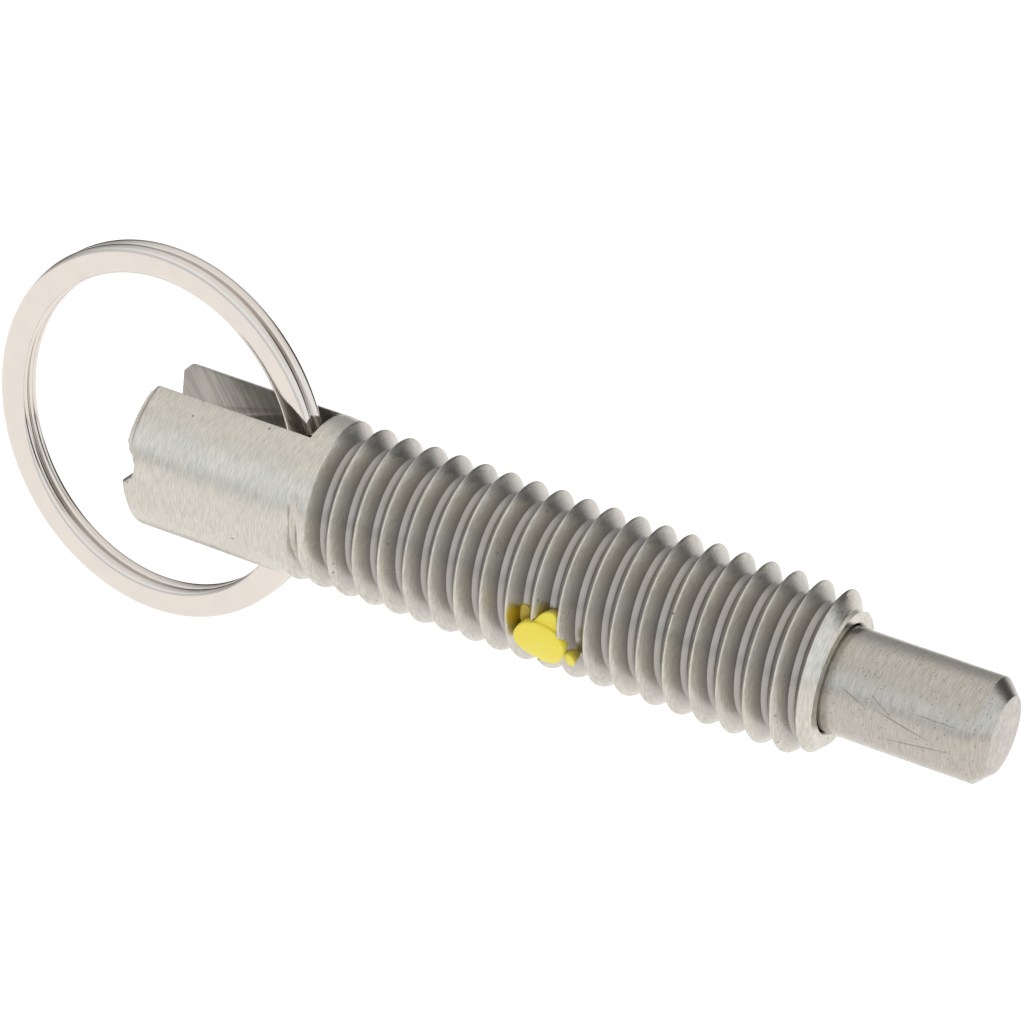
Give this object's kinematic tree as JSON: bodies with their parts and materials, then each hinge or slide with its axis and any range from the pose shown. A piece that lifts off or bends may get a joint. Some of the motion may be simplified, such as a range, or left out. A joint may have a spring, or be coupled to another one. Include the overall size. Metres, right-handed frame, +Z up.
{
  "type": "indexing plunger",
  "caption": "Hand-pulled indexing plunger: a sprung pin in a threaded, slotted body, drawn back by a split ring.",
  "frame": {"origin": "middle of the threaded body's nose face, on the axis of the thread and the pin", "axes": "+X along the axis towards the pin's tip, +Z up in the plane of the ring slot, -Y towards the locking element's side"},
  "size_m": [0.0639, 0.0094, 0.0222],
  "materials": {
    "turned_stainless": "satin turned stainless steel with fine round brush marks",
    "pin_steel": "ground and tumbled stainless steel, finely pitted",
    "ring_steel": "bright rolled stainless steel wire",
    "spring_steel": "drawn spring wire",
    "nylon": "matt yellow nylon"
  },
  "bodies": {
    "body": {"threaded_body": "turned_stainless", "spring": "spring_steel", "nylon_locking_element": "nylon"},
    "plunger": {"plunger": "pin_steel"},
    "ring": {"pull_ring": "ring_steel"}
  },
  "joints": [
    {"name": "plunger_slide", "type": "slide", "parent": "body", "child": "plunger", "axis": [-1, 0, 0], "range_m": [0, 0.0106], "stiffness_N_per_m": 1200, "springref_m": -0.006, "deforming": ["spring"]},
    {"name": "ring_swing", "type": "hinge", "parent": "plunger", "child": "ring", "pos_m": [-0.03305, 0.0002, 0], "axis": [0, 0, 1], "range_deg": [-26, 55]}
  ]
}
